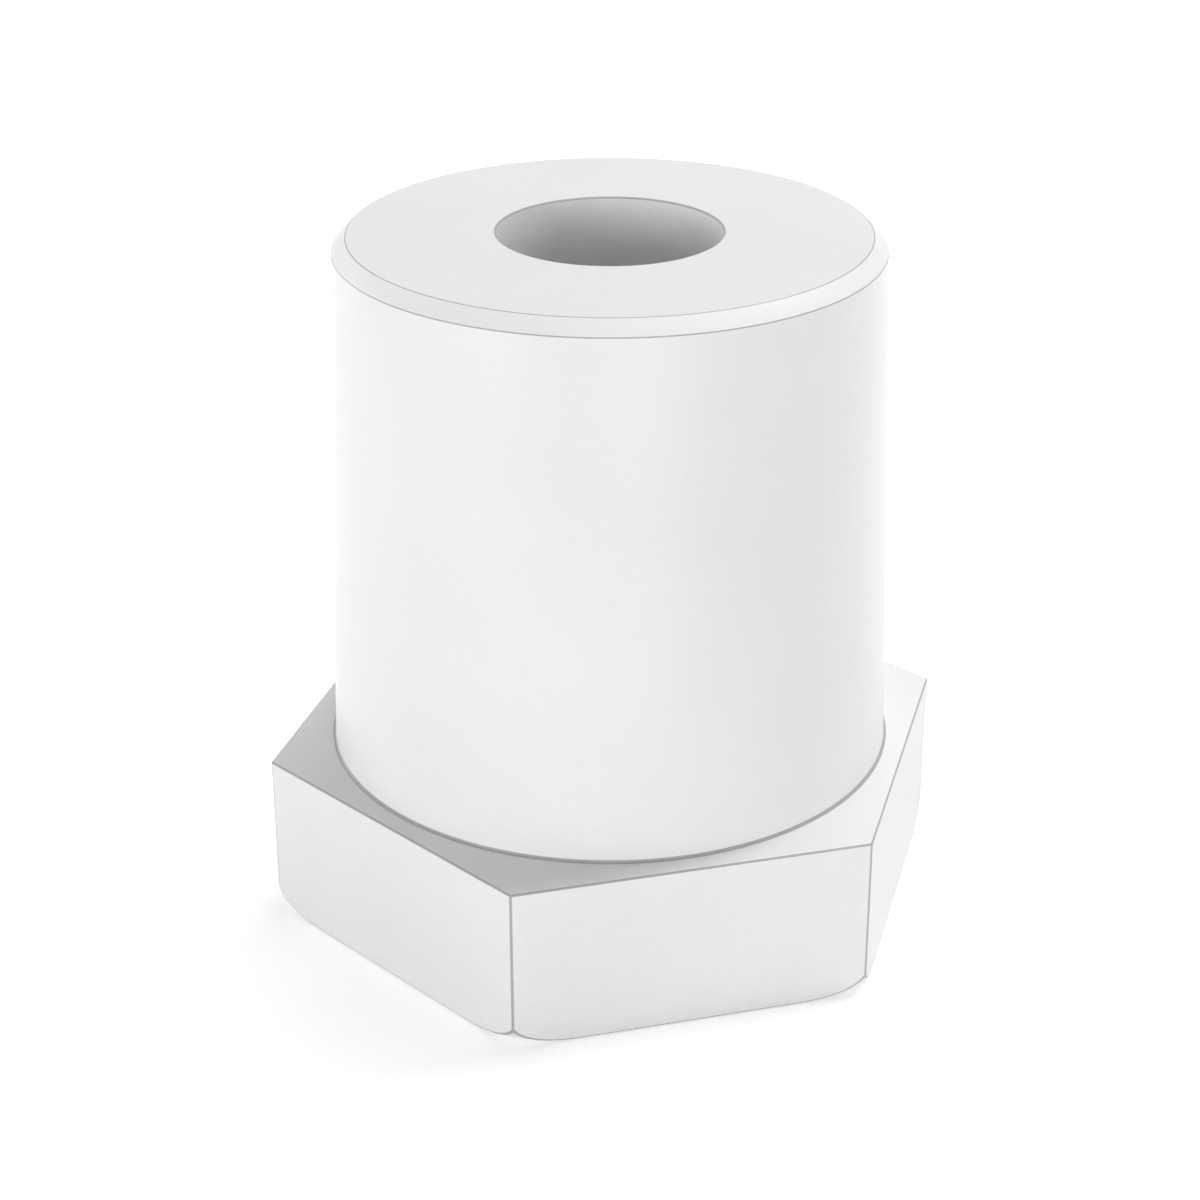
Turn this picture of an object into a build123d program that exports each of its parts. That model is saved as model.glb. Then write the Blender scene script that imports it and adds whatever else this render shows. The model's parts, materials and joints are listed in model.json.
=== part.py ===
from build123d import *
import os
from math import radians, sqrt, tan

# Reduction sleeve, turned and milled in one piece from a bar: a hexagonal head, a tapered round body
# standing on it, and a straight hole down the middle.
# Millimetres and degrees. The origin is the centre of the head's underside, +Z runs up the hole
# towards the free end, and two flats of the hexagon face -Y and +Y.

# Tapered body
body_diameter = 25.0  # at the shoulder, where the body is thickest
body_length = 23.3  # from the shoulder to the free end
side_angle = 2.0  # lean of the body's side from the axis, narrowing towards the free end
end_chamfer = 0.6  # 45 degree chamfer round the free end

# Hole
bore_diameter = 9.6

# Hexagonal head
head_height = 7.5
ledge_width = 1.0  # of the shoulder at the middle of a flat, where it is narrowest
corner_rounding = 1.3  # radius of the turned rounding where the corners meet the underside
corner_clearance = 0.03  # how far outside the corners the rounding would end

# Sizes that follow
flats = 6
across_flats = body_diameter + 2 * ledge_width
corner_radius = across_flats / sqrt(3)
blank_radius = corner_radius + corner_clearance
underside_radius = blank_radius - corner_rounding
free_end_diameter = body_diameter - 2 * body_length * tan(radians(side_angle))

with BuildPart() as reduction_sleeve:
    # The bar's hexagon, with a flat shoulder on top.
    with BuildSketch(Plane.XY):
        RegularPolygon(across_flats / 2, flats, major_radius=False)
    extrude(amount=head_height)

    # A round blank with a rounded lower rim, turned about the same axis, takes back the six corners.
    # The flats reach inside the rounding, so that their lower edges stay straight in the middle.
    with BuildSketch(Plane.XZ):
        with BuildLine():
            Line((0, 0), (underside_radius, 0))
            CenterArc((underside_radius, corner_rounding), corner_rounding, -90, 90)
            Line((blank_radius, corner_rounding), (blank_radius, head_height))
            Line((blank_radius, head_height), (0, head_height))
            Line((0, head_height), (0, 0))
        make_face()
    revolve(axis=Axis.Z, mode=Mode.INTERSECT)

    # The body stands on the shoulder and narrows towards its chamfered free end.
    with Locations((0, 0, head_height)):
        Cone(
            body_diameter / 2,
            free_end_diameter / 2,
            body_length,
            align=(Align.CENTER, Align.CENTER, Align.MIN),
        )
    free_end_rim = reduction_sleeve.edges().filter_by(GeomType.CIRCLE).sort_by(Axis.Z)[-1]
    chamfer(free_end_rim, length=end_chamfer)

    # One plain diameter right through.
    Hole(bore_diameter / 2)

reduction_sleeve.part.label = "reduction_sleeve"

os.makedirs("parts", exist_ok=True)
export_step(reduction_sleeve.part, "parts/reduction_sleeve.step")
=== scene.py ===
import json
import math

import bpy
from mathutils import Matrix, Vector


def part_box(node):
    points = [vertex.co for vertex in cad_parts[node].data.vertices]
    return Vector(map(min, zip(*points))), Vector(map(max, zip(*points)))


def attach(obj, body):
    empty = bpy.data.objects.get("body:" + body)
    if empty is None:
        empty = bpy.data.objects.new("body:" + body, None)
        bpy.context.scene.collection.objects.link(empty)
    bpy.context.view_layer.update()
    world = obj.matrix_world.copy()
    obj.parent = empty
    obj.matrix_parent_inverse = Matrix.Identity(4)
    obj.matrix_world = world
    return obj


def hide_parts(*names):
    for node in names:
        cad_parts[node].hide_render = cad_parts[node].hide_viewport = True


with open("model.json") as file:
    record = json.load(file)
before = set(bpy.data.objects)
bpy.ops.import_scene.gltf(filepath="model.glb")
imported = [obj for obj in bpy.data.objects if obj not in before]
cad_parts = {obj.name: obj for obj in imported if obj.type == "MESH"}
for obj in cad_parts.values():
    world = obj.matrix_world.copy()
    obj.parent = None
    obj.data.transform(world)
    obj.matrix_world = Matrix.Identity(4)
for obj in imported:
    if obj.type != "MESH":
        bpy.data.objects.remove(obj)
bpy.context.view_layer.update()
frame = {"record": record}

# Sizes are in metres, as the frame is. Those that the frame states are read from it, and the rest
# repeat the sleeve's own sizes.
MM = 0.001
mounts = {mount["name"]: mount for mount in frame["record"]["mounts"]}
sleeve_low, sleeve_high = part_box("reduction_sleeve")
length = sleeve_high.z
half_flats = sleeve_high.y
corner_radius = sleeve_high.x
head_height = mounts["shoulder"]["pos_m"][2]
bore_radius = mounts["bore"]["dims"]["r_mm"] * MM
ledge_width = 1.0 * MM
side_angle = math.radians(2.0)
end_chamfer = 0.6 * MM
corner_rounding = 1.3 * MM
corner_clearance = 0.03 * MM
body_radius = half_flats - ledge_width
underside_radius = corner_radius + corner_clearance - corner_rounding

# Fine finish, too small for the drawing of the part: a scraper has taken the sharpness off every
# edge, the turning tool's nose has left a fillet at the shoulder, and the bar's corners are round.
edge_break = 0.07 * MM
nose_radius = 0.12 * MM
bar_corner_radius = 0.12 * MM

# EDGES is the strips that get painted shade: the edge breaks, the shoulder's fillet and the rounded bar
# corners are coloured dark grey for the line an edge shows.
BORE, BODY, FACES, FLATS, EDGES = range(5)


# ---------------------------------------------------------------- node helpers

def put(tree, socket, value):
    """Links a socket into another, or sets it to a constant."""
    if isinstance(value, bpy.types.NodeSocket):
        tree.links.new(value, socket)
    else:
        socket.default_value = value


def add_node(tree, kind, inputs=None, **settings):
    """A node with its settings made and its inputs, by name or place, linked or set."""
    node = tree.nodes.new(kind)
    for name, value in settings.items():
        setattr(node, name, value)
    for key, value in (inputs or {}).items():
        put(tree, node.inputs[key], value)
    return node


def calculate(tree, operation, *values):
    """One step of arithmetic, in either kind of tree."""
    node = add_node(tree, "ShaderNodeMath", dict(enumerate(values)), operation=operation)
    return node.outputs[0]


def ramp(tree, value, low, high, start, end):
    """A straight ramp from start to end while value goes from low to high, level outside that."""
    places = {"Value": value, "From Min": low, "From Max": high, "To Min": start, "To Max": end}
    return add_node(tree, "ShaderNodeMapRange", places).outputs["Result"]


# ---------------------------------------------------------------- the half section

def rounded(corner, before, after, radius, steps=3):
    """Points of the arc that rounds a corner between two straight runs of the section."""
    corner = Vector(corner)
    towards_before = (Vector(before) - corner).normalized()
    towards_after = (Vector(after) - corner).normalized()
    half_angle = towards_before.angle(towards_after) / 2
    reach = radius / math.tan(half_angle)
    middle = (towards_before + towards_after).normalized() * (radius / math.sin(half_angle))
    centre = corner + middle
    first = corner + towards_before * reach - centre
    last = corner + towards_after * reach - centre
    turn = first.angle_signed(last)
    points = []
    for step in range(steps + 1):
        angle = -turn * step / steps
        c, s = math.cos(angle), math.sin(angle)
        points.append(centre + Vector((c * first.x - s * first.y, s * first.x + c * first.y)))
    return points


def half_section():
    """The section's points in order round the acetal: (radius, height, inset from the flats, surface).

    A point's surface is that of the strip which starts at it. Points of the head's rim lie past the
    corners of the hexagon, and the milling brings them in to the flats, less their inset.
    """
    def body_radius_at(height):
        return body_radius - (height - head_height) * math.tan(side_angle)

    bore_foot = (bore_radius, 0.0)
    bore_top = (bore_radius, length)
    end_rim = (body_radius_at(length) - end_chamfer, length)
    chamfer_foot = (body_radius_at(length - end_chamfer), length - end_chamfer)
    shoulder_corner = (body_radius, head_height)
    past_corners = corner_radius + MM
    ledge_rim = (past_corners, head_height)
    foot_rim = (past_corners, 0.0)

    section = []

    def add(points, surface, inset=0.0):
        section.extend([point[0], point[1], inset, EDGES] for point in points)
        section[-1][3] = surface

    # Each rounding's own points are edge strips, which carry the painted shade; the shoulder's fillet is
    # one, so the inner corner is painted darker too.
    add(rounded(bore_foot, foot_rim, bore_top, edge_break), BORE)
    add(rounded(bore_top, bore_foot, end_rim, edge_break), FACES)
    add(rounded(end_rim, bore_top, chamfer_foot, edge_break), FACES)
    add(rounded(chamfer_foot, end_rim, shoulder_corner, edge_break), BODY)
    add(rounded(shoulder_corner, chamfer_foot, ledge_rim, nose_radius), FACES)

    # The rim of the hexagon, above and below: quarter turns that follow the flats.
    steps = 3
    for step in range(steps + 1):
        angle = math.pi / 2 * step / steps
        inset = edge_break * (1 - math.sin(angle))
        height = head_height - edge_break * (1 - math.cos(angle))
        section.append([past_corners, height, inset, FLATS if step == steps else EDGES])
    for step in range(steps + 1):
        angle = math.pi / 2 * step / steps
        inset = edge_break * (1 - math.cos(angle))
        height = edge_break * (1 - math.sin(angle))
        section.append([past_corners, height, inset, FACES if step == steps else EDGES])
    # The turned rounding of the corners, down to where it runs out into the underside.
    steps = 12
    for step in range(steps, -1, -1):
        angle = math.radians(78) * step / steps
        radius = underside_radius + corner_rounding * math.sin(angle)
        section.append([radius, 0.0, edge_break, FACES])
    return section


def section_object(name, section):
    """The section as a closed outline, with what the tree needs to know of each point."""
    mesh = bpy.data.meshes.new(name)
    points = [(radius, 0.0, height) for radius, height, _, _ in section]
    count = len(points)
    mesh.from_pydata(points, [(i, (i + 1) % count) for i in range(count)], [])
    inset = mesh.attributes.new("inset", "FLOAT", "POINT")
    inset.data.foreach_set("value", [row[2] for row in section])
    surface = mesh.attributes.new("surface", "INT", "POINT")
    surface.data.foreach_set("value", [row[3] for row in section])
    feed = mesh.attributes.new("feed", "FLOAT", "POINT")
    travelled = [0.0]
    for i in range(1, count):
        travelled.append(travelled[-1] + (Vector(points[i]) - Vector(points[i - 1])).length)
    feed.data.foreach_set("value", travelled)
    piece = bpy.data.objects.new(name, mesh)
    bpy.context.scene.collection.objects.link(piece)
    return piece


# ---------------------------------------------------------------- turning and milling

SIZE_INPUTS = {
    "Half Across Flats": half_flats,
    "Bar Corner Radius": bar_corner_radius,
    "Underside Radius": underside_radius,
    "Corner Rounding": corner_rounding,
    "Head Height": head_height,
}
COUNT_INPUTS = ("Section Points", "Steps Per Half Flat")
STEPS_PER_HALF_FLAT = 48
WELD_DISTANCE = 0.0005 * MM
SHARP_ANGLE = math.radians(14)
# The shares of the steps at which the straight stretch and the curved stretch of an edge end.
FIRST_ZONE = 0.25
SECOND_ZONE = 0.875


def sampled(tree, source, name, data_type, row):
    """A named value of the section, read at the row's point."""
    kind = {"data_type": data_type}
    attribute = add_node(tree, "GeometryNodeInputNamedAttribute", {"Name": name}, **kind)
    sample = add_node(tree, "GeometryNodeSampleIndex", None, **kind)
    put(tree, sample.inputs["Geometry"], source)
    put(tree, sample.inputs["Value"], attribute.outputs["Attribute"])
    put(tree, sample.inputs["Index"], row)
    return sample.outputs["Value"]


def turn_and_mill_tree(materials):
    """Turns the section round the Z axis, then mills the flats and turns back the corners."""
    tree = bpy.data.node_groups.new("turn and mill", "GeometryNodeTree")
    face = tree.interface
    face.new_socket("Geometry", in_out="INPUT", socket_type="NodeSocketGeometry")
    for name in SIZE_INPUTS:
        face.new_socket(name, in_out="INPUT", socket_type="NodeSocketFloat")
    for name in COUNT_INPUTS:
        face.new_socket(name, in_out="INPUT", socket_type="NodeSocketInt")
    face.new_socket("Geometry", in_out="OUTPUT", socket_type="NodeSocketGeometry")
    given = tree.nodes.new("NodeGroupInput").outputs
    section = given["Geometry"]
    half = given["Half Across Flats"]
    rounding = given["Bar Corner Radius"]
    foot_radius = given["Underside Radius"]
    turned_rounding = given["Corner Rounding"]
    rows, steps = given["Section Points"], given["Steps Per Half Flat"]

    def calc(operation, *values):
        return calculate(tree, operation, *values)

    # A grid whose columns go round and whose rows follow the section. Its last row and column fall
    # on the first, and are welded to them at the end.
    columns = calc("MULTIPLY", steps, 12)
    grid = add_node(
        tree,
        "GeometryNodeMeshGrid",
        {"Vertices X": calc("ADD", columns, 1), "Vertices Y": calc("ADD", rows, 1)},
    )
    index = add_node(tree, "GeometryNodeInputIndex").outputs[0]
    across = calc("ADD", rows, 1)
    column = calc("FLOOR", calc("DIVIDE", calc("ADD", index, 0.5), across))
    row = calc("MODULO", calc("SUBTRACT", index, calc("MULTIPLY", column, across)), rows)

    # Where a column stands on its flat: from -1 at one corner, through 0 in the middle, to 1.
    sector = calc("FLOOR", calc("DIVIDE", calc("ADD", column, 0.5), calc("MULTIPLY", steps, 2)))
    along = calc("SUBTRACT", column, calc("MULTIPLY", sector, calc("MULTIPLY", steps, 2)))
    along = calc("SUBTRACT", calc("DIVIDE", along, steps), 1)
    share = calc("ABSOLUTE", along)

    # Columns are close together where the flat's lower edge curves up, and closest at the corner.
    # A column falls exactly on the end of each of those stretches.
    curve_start = calc("ARCCOSINE", calc("DIVIDE", half, foot_radius))
    round_start = calc(
        "ARCTANGENT",
        calc(
            "DIVIDE",
            calc("MULTIPLY", calc("SUBTRACT", half, rounding), math.tan(math.pi / 6)),
            half,
        ),
    )
    angle = ramp(tree, share, 0, FIRST_ZONE, 0, curve_start)
    curved = calc("SUBTRACT", round_start, curve_start)
    angle = calc("ADD", angle, ramp(tree, share, FIRST_ZONE, SECOND_ZONE, 0, curved))
    last = calc("SUBTRACT", math.pi / 6, round_start)
    angle = calc("ADD", angle, ramp(tree, share, SECOND_ZONE, 1, 0, last))
    signed_angle = calc("MULTIPLY", angle, calc("SIGN", along))
    middle = calc("MULTIPLY", calc("ADD", sector, 0.5), math.pi / 3)
    direction = calc("ADD", middle, signed_angle)

    # The hexagon's outline at that angle: the flat, or the small round at the bar's corner.
    cosine = calc("COSINE", angle)
    flat_reach = calc("DIVIDE", half, cosine)
    arc_centre = calc("DIVIDE", calc("SUBTRACT", half, rounding), math.cos(math.pi / 6))
    from_corner = calc("SUBTRACT", math.pi / 6, angle)
    aside = calc("MULTIPLY", arc_centre, calc("SINE", from_corner))
    depth = calc("SQRT", calc("SUBTRACT", calc("POWER", rounding, 2), calc("POWER", aside, 2)))
    arc_reach = calc("ADD", calc("MULTIPLY", arc_centre, calc("COSINE", from_corner)), depth)
    on_arc = calc("GREATER_THAN", angle, round_start)
    reach = calc(
        "ADD",
        calc("MULTIPLY", arc_reach, on_arc),
        calc("MULTIPLY", flat_reach, calc("SUBTRACT", 1, on_arc)),
    )

    # Milling keeps each point within the flats, and the rounding lifts the low ones at the corners.
    place = add_node(tree, "GeometryNodeInputPosition").outputs[0]
    sample = add_node(tree, "GeometryNodeSampleIndex", None, data_type="FLOAT_VECTOR")
    put(tree, sample.inputs["Geometry"], section)
    put(tree, sample.inputs["Value"], place)
    put(tree, sample.inputs["Index"], row)
    turned = add_node(tree, "ShaderNodeSeparateXYZ", {0: sample.outputs["Value"]}).outputs
    inset = sampled(tree, section, "inset", "FLOAT", row)
    radius = calc("MINIMUM", turned["X"], calc("SUBTRACT", reach, calc("DIVIDE", inset, cosine)))
    is_low = calc("LESS_THAN", turned["Z"], calc("MULTIPLY", given["Head Height"], 0.5))
    past_foot = calc("MAXIMUM", calc("SUBTRACT", radius, foot_radius), 0)
    past_foot = calc("MINIMUM", past_foot, turned_rounding)
    rise = calc("SUBTRACT", calc("POWER", turned_rounding, 2), calc("POWER", past_foot, 2))
    lift = calc("SUBTRACT", turned_rounding, calc("SQRT", calc("MAXIMUM", rise, 0)))
    height = calc("ADD", turned["Z"], calc("MULTIPLY", lift, is_low))
    spot = add_node(
        tree,
        "ShaderNodeCombineXYZ",
        {
            "X": calc("MULTIPLY", radius, calc("COSINE", direction)),
            "Y": calc("MULTIPLY", radius, calc("SINE", direction)),
            "Z": height,
        },
    ).outputs[0]
    places = {"Geometry": grid.outputs["Mesh"], "Position": spot}
    placed = add_node(tree, "GeometryNodeSetPosition", places)

    # What the finishes follow: the way along the section, and the way along a flat.
    feed = sampled(tree, section, "feed", "FLOAT", row)
    along_flat = calc("MULTIPLY", half, calc("TANGENT", signed_angle))
    along_flat = calc("ADD", along_flat, calc("MULTIPLY", sector, calc("MULTIPLY", half, 2)))
    shape = placed.outputs["Geometry"]
    for name, value in (("feed", feed), ("along_flat", along_flat)):
        kind = {"data_type": "FLOAT", "domain": "POINT"}
        store = add_node(tree, "GeometryNodeStoreNamedAttribute", {"Name": name}, **kind)
        put(tree, store.inputs["Geometry"], shape)
        put(tree, store.inputs["Value"], value)
        shape = store.outputs["Geometry"]

    face_index = add_node(tree, "GeometryNodeInputIndex").outputs[0]
    face_row = calc("MODULO", face_index, rows)
    surface = sampled(tree, section, "surface", "INT", face_row)
    # The strips that round the bar's corners count as edges too, so they also take the painted shade of
    # the edges.
    face_column = calc("FLOOR", calc("DIVIDE", calc("ADD", face_index, 0.5), rows))
    on_flat = calc("MODULO", calc("ADD", face_column, 0.5), calc("MULTIPLY", steps, 2))
    face_share = calc("ABSOLUTE", calc("SUBTRACT", calc("DIVIDE", on_flat, steps), 1))
    is_flat = calc("COMPARE", surface, FLATS, 0.5)
    at_corner = calc("GREATER_THAN", face_share, SECOND_ZONE)
    surface = calc("ADD", surface, calc("MULTIPLY", calc("MULTIPLY", is_flat, at_corner), EDGES - FLATS))
    kind = {"data_type": "INT", "domain": "FACE"}
    store = add_node(tree, "GeometryNodeStoreNamedAttribute", {"Name": "surface"}, **kind)
    put(tree, store.inputs["Geometry"], shape)
    put(tree, store.inputs["Value"], surface)
    weld = {"Geometry": store.outputs["Geometry"], "Distance": WELD_DISTANCE}
    welded = add_node(tree, "GeometryNodeMergeByDistance", weld)
    outward = add_node(tree, "GeometryNodeFlipFaces", {"Mesh": welded.outputs["Geometry"]}).outputs["Mesh"]
    shape = add_node(tree, "GeometryNodeRealizeInstances", {"Geometry": outward}).outputs["Geometry"]
    for number, material in enumerate(materials):
        coat = add_node(tree, "GeometryNodeSetMaterial", {"Geometry": shape, "Material": material})
        if number > 0:
            named = add_node(tree, "GeometryNodeInputNamedAttribute", {"Name": "surface"}, data_type="INT")
            chosen = add_node(tree, "FunctionNodeCompare", None, data_type="INT", operation="EQUAL")
            put(tree, chosen.inputs[2], named.outputs["Attribute"])
            put(tree, chosen.inputs[3], number)
            put(tree, coat.inputs["Selection"], chosen.outputs["Result"])
        shape = coat.outputs["Geometry"]
    put(tree, tree.nodes.new("NodeGroupOutput").inputs[0], shape)
    return tree


def make_sleeve(materials):
    """The sleeve, as a plain mesh made by the tree."""
    section = half_section()
    piece = section_object("reduction_sleeve_finish", section)
    tree = turn_and_mill_tree(materials)
    modifier = piece.modifiers.new("turn and mill", "NODES")
    modifier.node_group = tree
    sizes = dict(SIZE_INPUTS)
    counts = (len(section), STEPS_PER_HALF_FLAT)
    sizes.update(zip(COUNT_INPUTS, counts))
    for socket in tree.interface.items_tree:
        if socket.in_out == "INPUT" and socket.name in sizes:
            modifier[socket.identifier] = sizes[socket.name]
    evaluated = piece.evaluated_get(bpy.context.evaluated_depsgraph_get())
    mesh = bpy.data.meshes.new_from_object(evaluated)
    mesh.materials.pop(index=0)  # the grid's own empty slot
    piece.modifiers.clear()
    piece.data = mesh
    mesh.shade_smooth()
    mesh.set_sharp_from_angle(angle=SHARP_ANGLE)
    return piece


# ---------------------------------------------------------------- finishes

WHITE_ACETAL = (0.87, 0.87, 0.86)
# Painted shade, not a colour of the acetal: the dark grey of the edge strips, standing in for the dark
# line along each edge.
PAINTED_EDGE_SHADE = (0.42, 0.42, 0.41)
MICRON = 0.001 * MM


def attribute_in_mm(tree, name):
    """A length that the mesh carries, in millimetres."""
    carried = add_node(tree, "ShaderNodeAttribute", attribute_name=name).outputs["Fac"]
    return calculate(tree, "MULTIPLY", carried, 1 / MM)


def ridges(tree, place, pitch, seed):
    """Even cutting ridges across a place in millimetres: height from -1 to 1, deeper here than there."""
    wave = calculate(tree, "SINE", calculate(tree, "MULTIPLY", place, 2 * math.pi / pitch))
    drift = add_node(tree, "ShaderNodeTexNoise", noise_dimensions="1D")
    put(tree, drift.inputs["W"], calculate(tree, "ADD", place, seed))
    put(tree, drift.inputs["Scale"], 0.9)
    return calculate(tree, "MULTIPLY", wave, ramp(tree, drift.outputs["Fac"], 0.3, 0.7, 0.35, 1.0))


def streaks(tree, place, width, seed, detail=2.0):
    """Uneven lines across a place in millimetres: height from about -1 to 1."""
    noise = add_node(tree, "ShaderNodeTexNoise", noise_dimensions="1D")
    put(tree, noise.inputs["W"], calculate(tree, "ADD", place, seed))
    put(tree, noise.inputs["Scale"], 1 / width)
    put(tree, noise.inputs["Detail"], detail)
    return ramp(tree, noise.outputs["Fac"], 0.0, 1.0, -2.0, 2.0)


def turned_marks(tree, pitch, seed):
    """Ridges of one feed of the tool for each turn, and a few bands where it cut less cleanly."""
    feed = attribute_in_mm(tree, "feed")
    fine = ridges(tree, feed, pitch, seed)
    bands = streaks(tree, feed, 0.5, seed + 7.0)
    fine = calculate(tree, "MULTIPLY", fine, 0.5)
    return calculate(tree, "ADD", fine, calculate(tree, "MULTIPLY", bands, 0.8))


def drawn_marks(tree, seed):
    """Faint lines along the bar, each fading in and out over its length."""
    place = add_node(tree, "ShaderNodeTexCoord").outputs["Object"]
    upright = add_node(tree, "ShaderNodeSeparateXYZ", {0: place}).outputs["Z"]
    along = attribute_in_mm(tree, "along_flat")
    spot = add_node(
        tree,
        "ShaderNodeCombineXYZ",
        {
            "X": calculate(tree, "MULTIPLY", along, 6.0),
            "Y": calculate(tree, "MULTIPLY", upright, 0.12 / MM),
            "Z": seed,
        },
    ).outputs[0]
    noise = add_node(tree, "ShaderNodeTexNoise", {"Vector": spot, "Scale": 1.0, "Detail": 3.0})
    fine = ramp(tree, noise.outputs["Fac"], 0.0, 1.0, -2.0, 2.0)
    return calculate(tree, "ADD", fine, calculate(tree, "MULTIPLY", streaks(tree, along, 1.4, seed), 0.6))


def white_acetal(name, colour, roughness, marks=None, depth=0.0):
    """White acetal with one tool's marks: a colour that drifts a little, and a satin sheen."""
    material = bpy.data.materials.new(name)
    material.use_nodes = True
    tree = material.node_tree
    shader = tree.nodes["Principled BSDF"]
    place = add_node(tree, "ShaderNodeTexCoord").outputs["Object"]

    # The bar's white is a little uneven, in soft clouds and in fine grain.
    wide = {"Vector": place, "Scale": 0.12 / MM, "Detail": 3.0}
    clouds = add_node(tree, "ShaderNodeTexNoise", wide).outputs["Fac"]
    fine = {"Vector": place, "Scale": 5.0 / MM, "Detail": 2.0}
    grain = add_node(tree, "ShaderNodeTexNoise", fine).outputs["Fac"]
    mostly_clouds = calculate(tree, "MULTIPLY", clouds, 0.7)
    shade = calculate(tree, "ADD", mostly_clouds, calculate(tree, "MULTIPLY", grain, 0.3))
    blend = ramp(tree, shade, 0.35, 0.65, 0.0, 1.0)
    tone = add_node(tree, "ShaderNodeMix", {"Factor": blend}, data_type="RGBA")
    tone.inputs[6].default_value = [part * 0.975 for part in colour] + [1.0]
    tone.inputs[7].default_value = [min(part * 1.015, 1.0) for part in colour] + [1.0]
    put(tree, shader.inputs["Base Color"], tone.outputs[2])

    gloss = ramp(tree, clouds, 0.3, 0.7, roughness - 0.04, roughness + 0.04)
    if marks:
        height = marks(tree)
        gloss = calculate(tree, "ADD", gloss, calculate(tree, "MULTIPLY", height, 0.02))
        height = calculate(tree, "ADD", height, calculate(tree, "MULTIPLY", grain, 0.8))
        bump = add_node(tree, "ShaderNodeBump", {"Height": height, "Distance": depth, "Strength": 1.0})
        put(tree, shader.inputs["Normal"], bump.outputs["Normal"])
    put(tree, shader.inputs["Roughness"], gloss)
    shader.inputs["IOR"].default_value = 1.48
    shader.inputs["Subsurface Weight"].default_value = 0.12
    shader.inputs["Subsurface Radius"].default_value = (1.0, 0.95, 0.9)
    shader.inputs["Subsurface Scale"].default_value = 0.5 * MM
    return material


def make_finishes():
    """One finish for each surface, in the order of the surfaces' numbers."""
    def bored(tree):
        return turned_marks(tree, 0.20, 3.0)

    def turned(tree):
        return turned_marks(tree, 0.16, 11.0)

    def faced(tree):
        return turned_marks(tree, 0.14, 29.0)

    def drawn(tree):
        return drawn_marks(tree, 5.0)

    return [
        white_acetal("drilled_bore", WHITE_ACETAL, 0.48, bored, 1.6 * MICRON),
        white_acetal("turned_body", WHITE_ACETAL, 0.40, turned, 1.6 * MICRON),
        white_acetal("faced_rings", WHITE_ACETAL, 0.42, faced, 1.4 * MICRON),
        white_acetal("drawn_flats", WHITE_ACETAL, 0.38, drawn, 1.2 * MICRON),
        # The edge strips get painted shade: a dark grey line along every edge break, fillet and corner
        # rounding, with no tool marks.
        white_acetal("edges_painted_shade", PAINTED_EDGE_SHADE, 0.45),
    ]


sleeve = make_sleeve(make_finishes())
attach(sleeve, "root")
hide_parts("reduction_sleeve")


# ---------------------------------------------------------------- floor, light and camera

# Each lamp's direction round the sleeve and height, in degrees (0 is +X and -90 is the front),
# its distance and its width in metres, and its power in watts.
LAMPS = {
    "key_lamp": (18, 55, 0.40, 0.16, 0.64),
    "overhead_lamp": (45, 71, 0.40, 0.20, 0.62),
    "front_lamp": (-90, 8, 0.40, 0.16, 0.55),
    "front_left_lamp": (-150, 8, 0.40, 0.16, 0.50),
    "left_lamp": (180, 8, 0.40, 0.16, 0.20),
    "right_lamp": (-30, 8, 0.40, 0.16, 0.17),
    "back_lamp": (130, 8, 0.40, 0.16, 0.42),
}
ROOM_LIGHT = 0.06
FLOOR_LIFT = 0.50
FLOOR_HALF_WIDTH = 0.6
FLOOR_GAP = 0.01 * MM
SHADOW_START, SHADOW_END = 15 * MM, 50 * MM

# The camera's place round the sleeve and above it, in degrees, and its distance in metres.
CAMERA_DIRECTION, CAMERA_HEIGHT, CAMERA_DISTANCE = -15, 24.889, 0.11206


def studio_object(name, data):
    """An object for the studio, put into the scene."""
    piece = bpy.data.objects.new(name, data)
    bpy.context.scene.collection.objects.link(piece)
    return piece


def make_lamps():
    """Soft round lamps, all turned to the middle of the sleeve."""
    middle = Vector((0, 0, length / 2))
    for name, (direction, height, distance, width, power) in LAMPS.items():
        lamp = bpy.data.lights.new(name, "AREA")
        lamp.shape = "DISK"
        lamp.size = width
        lamp.energy = power
        turn, rise = math.radians(direction), math.radians(height)
        level = math.cos(rise)
        towards = Vector((math.cos(turn) * level, math.sin(turn) * level, math.sin(rise)))
        piece = studio_object(name, lamp)
        piece.location = middle + towards * distance
        piece.rotation_mode = "QUATERNION"
        piece.rotation_quaternion = towards.to_track_quat("Z", "Y")


def seen_directly(tree):
    """1 for a ray that shows the background itself, or its image in something shiny or clear."""
    path = add_node(tree, "ShaderNodeLightPath").outputs
    seen = calculate(tree, "MAXIMUM", path["Is Camera Ray"], path["Is Glossy Ray"])
    return calculate(tree, "MAXIMUM", seen, path["Is Transmission Ray"])


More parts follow.
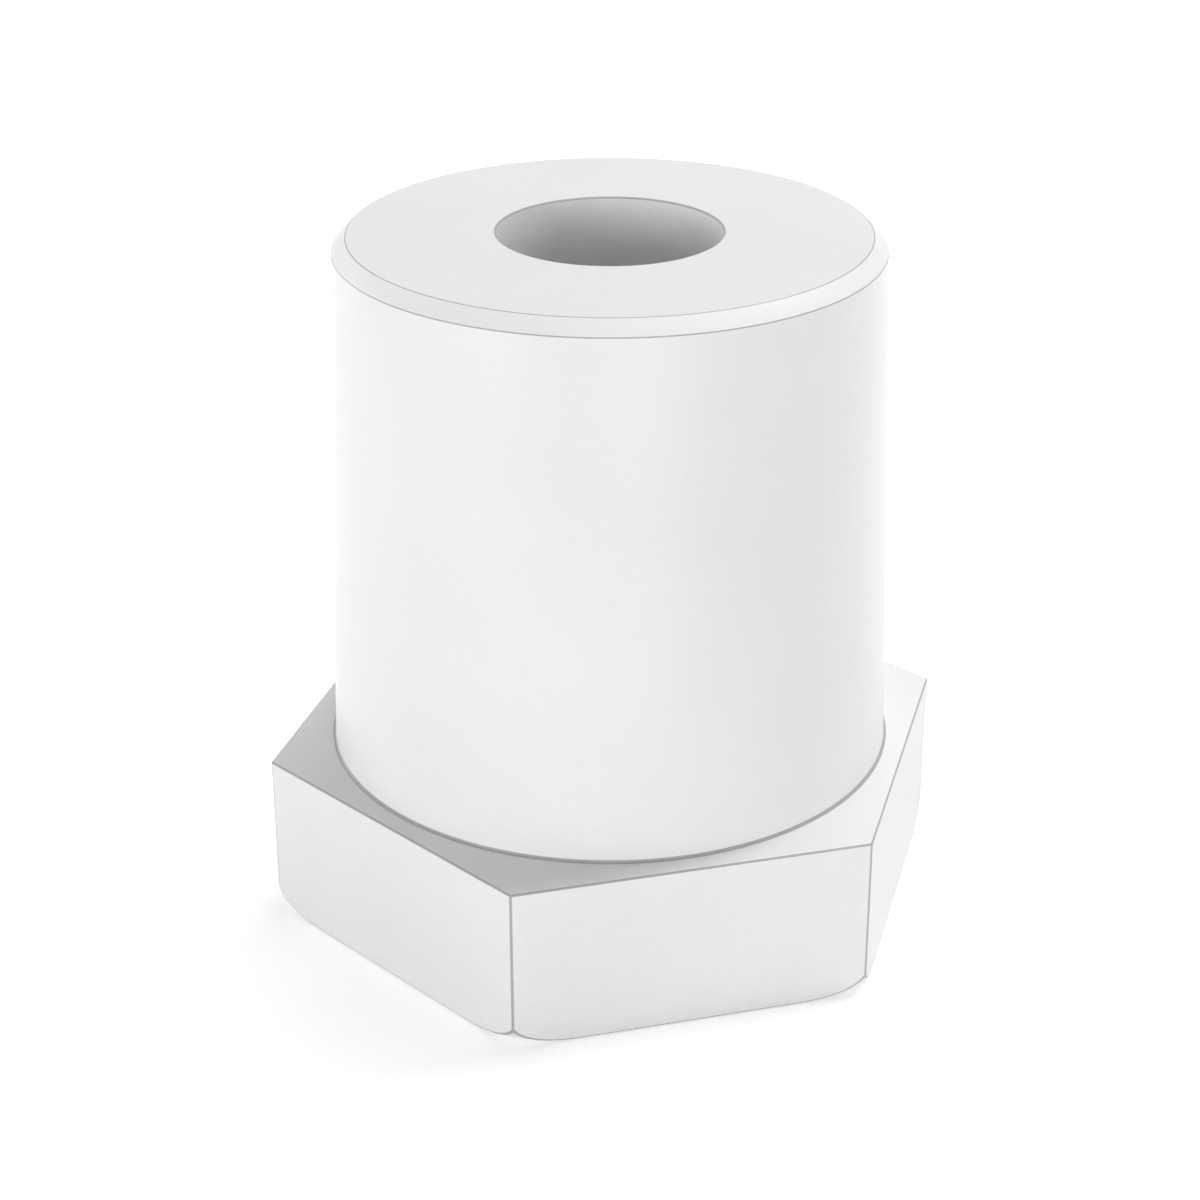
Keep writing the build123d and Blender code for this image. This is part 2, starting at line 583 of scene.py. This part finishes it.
def make_floor():
    """A white floor that keeps the soft shadow near the sleeve, and is plain white further out."""
    w = FLOOR_HALF_WIDTH
    corners = [(x, y, -FLOOR_GAP) for x, y in ((-w, -w), (w, -w), (w, w), (-w, w))]
    mesh = bpy.data.meshes.new("studio_floor")
    mesh.from_pydata(corners, [], [(0, 1, 2, 3)])
    floor = studio_object("studio_floor", mesh)
    material = bpy.data.materials.new("studio_floor")
    material.use_nodes = True
    tree = material.node_tree
    shader = tree.nodes["Principled BSDF"]
    shader.inputs["Base Color"].default_value = (0.8, 0.8, 0.8, 1)
    shader.inputs["Roughness"].default_value = 0.9
    shader.inputs["Specular IOR Level"].default_value = 0.0
    shader.inputs["Emission Color"].default_value = (1, 1, 1, 1)
    place = add_node(tree, "ShaderNodeTexCoord").outputs["Object"]
    away = add_node(tree, "ShaderNodeVectorMath", {0: place}, operation="LENGTH").outputs["Value"]
    lift = ramp(tree, away, SHADOW_START, SHADOW_END, FLOOR_LIFT, 1.0)
    put(tree, shader.inputs["Emission Strength"], calculate(tree, "MULTIPLY", lift, seen_directly(tree)))
    mesh.materials.append(material)


def make_world():
    """An even white room: faint as a light, and plain white where it is seen."""
    world = bpy.data.worlds.new("studio")
    bpy.context.scene.world = world
    world.use_nodes = True
    tree = world.node_tree
    room = tree.nodes["Background"]
    room.inputs["Color"].default_value = (1, 1, 1, 1)
    put(tree, room.inputs["Strength"], ramp(tree, seen_directly(tree), 0.0, 1.0, ROOM_LIGHT, 1.0))


def make_camera():
    """The camera, aimed at the middle of the sleeve."""
    data = bpy.data.cameras.new("camera")
    data.lens = 75.4
    data.sensor_width = 36.0
    data.shift_x = -0.00815
    data.shift_y = -0.03126
    data.clip_start = 0.01
    data.clip_end = 10.0
    camera = studio_object("camera", data)
    azimuth, elevation = math.radians(CAMERA_DIRECTION), math.radians(CAMERA_HEIGHT)
    back = Vector(
        (
            math.sin(azimuth) * math.cos(elevation),
            -math.cos(azimuth) * math.cos(elevation),
            math.sin(elevation),
        )
    )
    middle = Vector((0, 0, length / 2))
    camera.location = middle + back * CAMERA_DISTANCE
    camera.rotation_mode = "QUATERNION"
    camera.rotation_quaternion = (-back).to_track_quat("-Z", "Y")
    bpy.context.scene.camera = camera


make_floor()
make_lamps()
make_world()
make_camera()
bpy.context.scene.view_settings.view_transform = "Standard"
